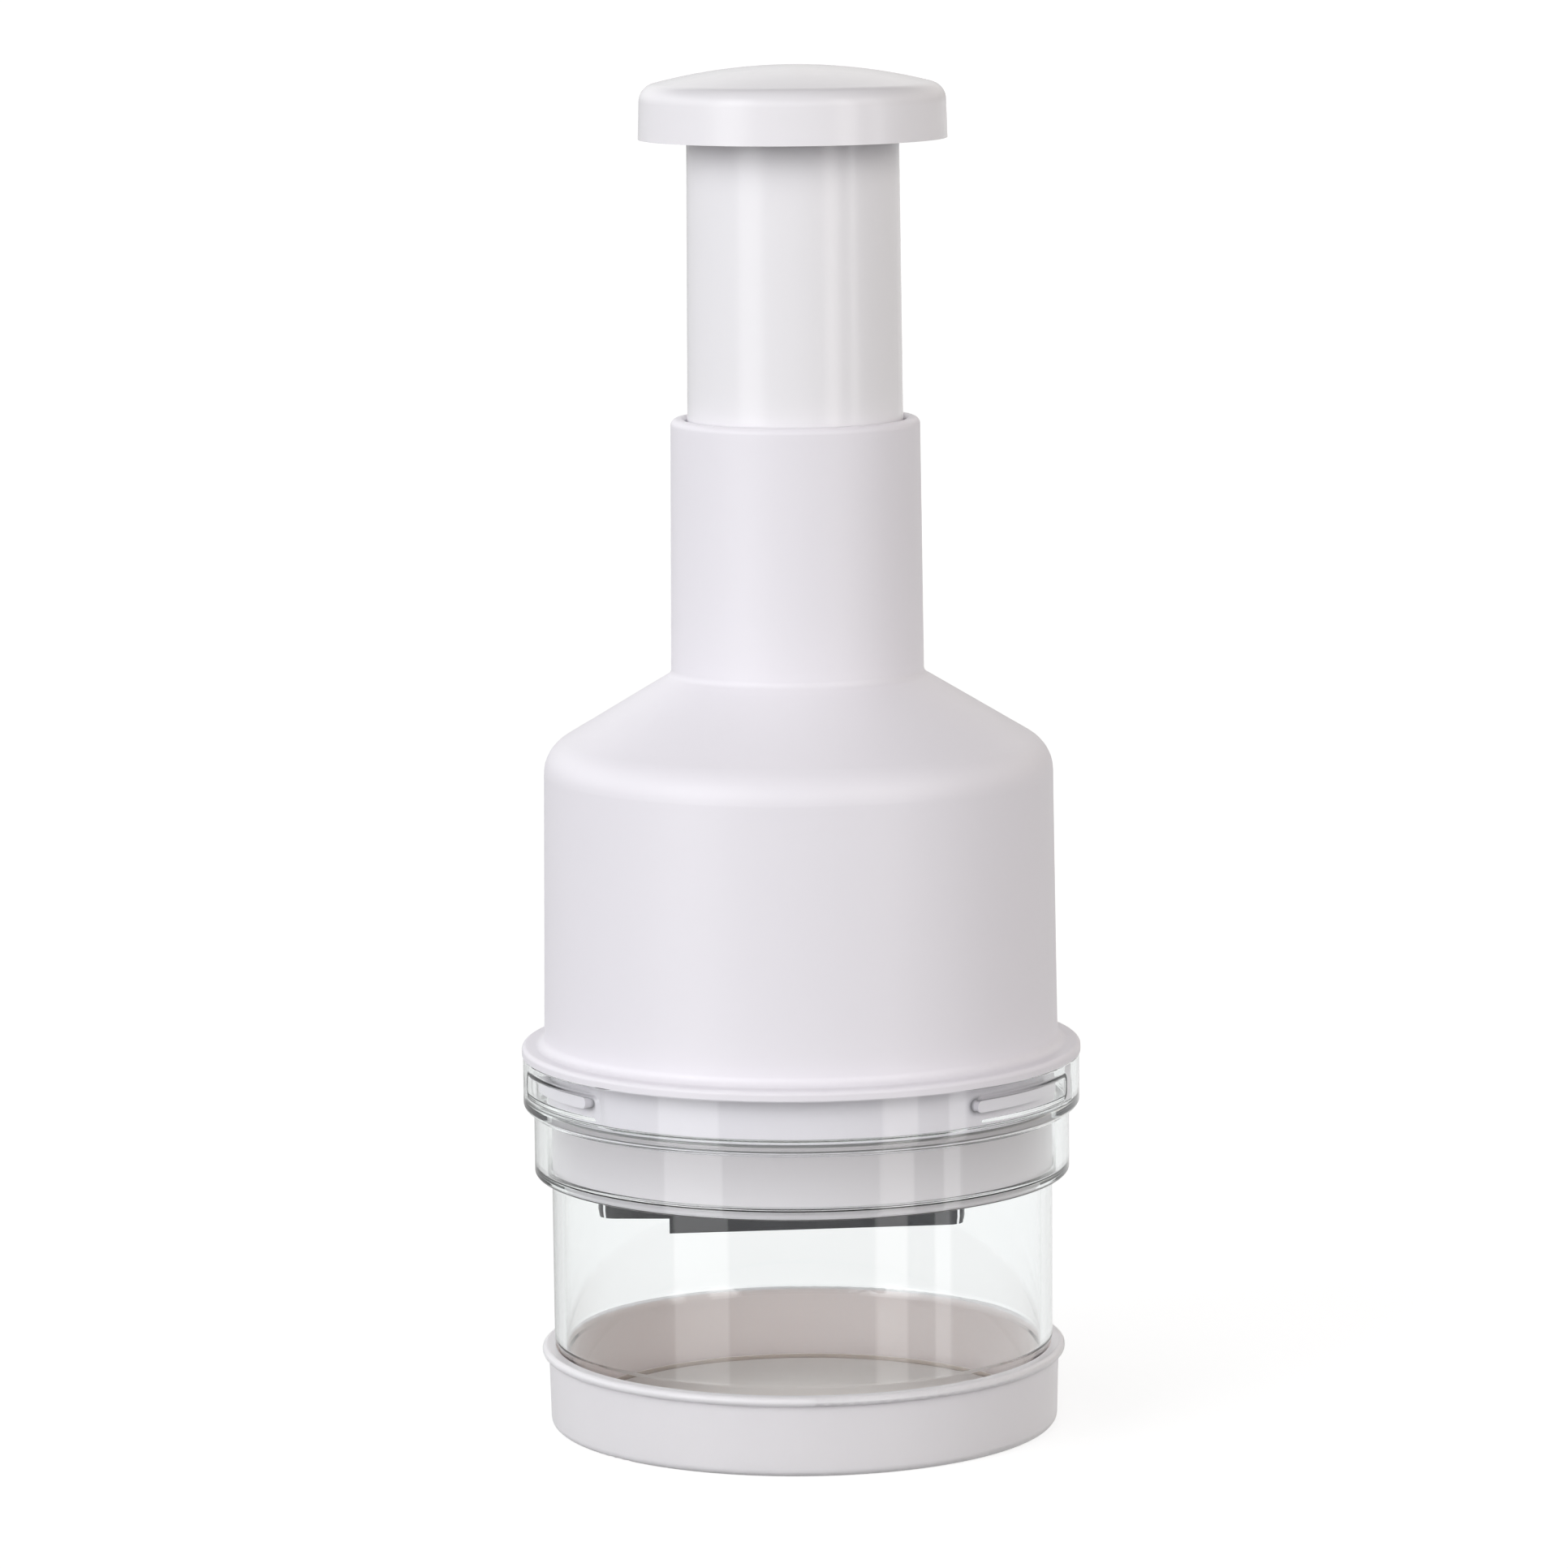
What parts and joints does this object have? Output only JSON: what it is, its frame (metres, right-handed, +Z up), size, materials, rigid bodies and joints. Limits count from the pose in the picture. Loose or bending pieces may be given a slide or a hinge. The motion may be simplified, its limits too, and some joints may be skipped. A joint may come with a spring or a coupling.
{
  "type": "plunger food chopper",
  "caption": "Hand food chopper: palm knob on a spring-loaded plunger, white housing, clear collared cup, zigzag steel blade and a white base lid with a chopping disc.",
  "frame": {"origin": "centre of the base lid's underside, where the chopper stands", "axes": "+Z up along the plunger's axis, -Y the front, +X the right seen from the front"},
  "size_m": [0.0987, 0.0986, 0.24],
  "materials": {
    "shell_plastic": "glossy white moulded plastic with a faint cool tint",
    "knob_plastic": "glossy white moulded plastic",
    "tube_plastic": "satin-gloss white moulded plastic",
    "lid_plastic": "satin white moulded plastic, slightly warm",
    "disc_plastic": "matt off-white cutting-board plastic",
    "clear_plastic": "clear polished plastic",
    "wiper_plastic": "light moulded plastic",
    "inner_plastic": "matt natural moulded plastic",
    "gear_plastic": "matt natural acetal",
    "bumper_rubber": "soft black rubber",
    "blade_steel": "thin polished stainless strip with a ground edge",
    "spring_steel": "drawn spring wire",
    "fastener_steel": "zinc-plated steel"
  },
  "bodies": {
    "base": {"base_lid": "lid_plastic", "chopping_disc": "disc_plastic"},
    "cup": {"clear_cup": "clear_plastic"},
    "housing": {"housing_shell": "shell_plastic", "guide_sleeve": "inner_plastic", "wiper_ring": "wiper_plastic", "wiper_snap_ring": "wiper_plastic", "mechanism_plate": "inner_plastic", "plate_screws": "fastener_steel", "drive_nut": "gear_plastic", "spring_washer": "fastener_steel", "return_spring": "spring_steel"},
    "wiper": {"wiper_disc": "wiper_plastic"},
    "plunger": {"plunger_tube": "tube_plastic", "stop_bumper": "bumper_rubber", "shaft_holder": "gear_plastic", "plunger_knob": "knob_plastic", "knob_backplate": "knob_plastic", "knob_screws": "fastener_steel"},
    "blade": {"blade_shaft": "gear_plastic", "thrust_washer": "fastener_steel", "retaining_washer": "fastener_steel", "shaft_screw": "fastener_steel", "blade_carrier": "inner_plastic", "carrier_screws": "fastener_steel", "zigzag_blade": "blade_steel"}
  },
  "joints": [
    {"name": "cup_lift", "type": "slide", "parent": "base", "child": "cup", "axis": [0, 0, 1], "range_m": [0, 0.03]},
    {"name": "housing_twist", "type": "hinge", "parent": "cup", "child": "housing", "pos_m": [0, 0, 0.0666], "axis": [0, 0, 1], "range_deg": [0, 35]},
    {"name": "plunger_press", "type": "slide", "parent": "housing", "child": "plunger", "axis": [0, 0, -1], "range_m": [0, 0.0378], "stiffness_N_per_m": 295, "springref_m": -0.027, "deforming": ["return_spring"]},
    {"name": "blade_turn", "type": "hinge", "parent": "plunger", "child": "blade", "pos_m": [0, 0, 0.1629], "axis": [0, 0, 1], "range_deg": [0, 30]},
    {"name": "wiper_turn", "type": "hinge", "parent": "housing", "child": "wiper", "pos_m": [0, 0, 0.0482], "axis": [0, 0, 1], "range_deg": [0, 30]}
  ],
  "couplings": [
    {"joint": "blade_turn", "follows": "plunger_press", "rad_per_m": 13.852},
    {"joint": "wiper_turn", "follows": "plunger_press", "rad_per_m": 13.852}
  ]
}
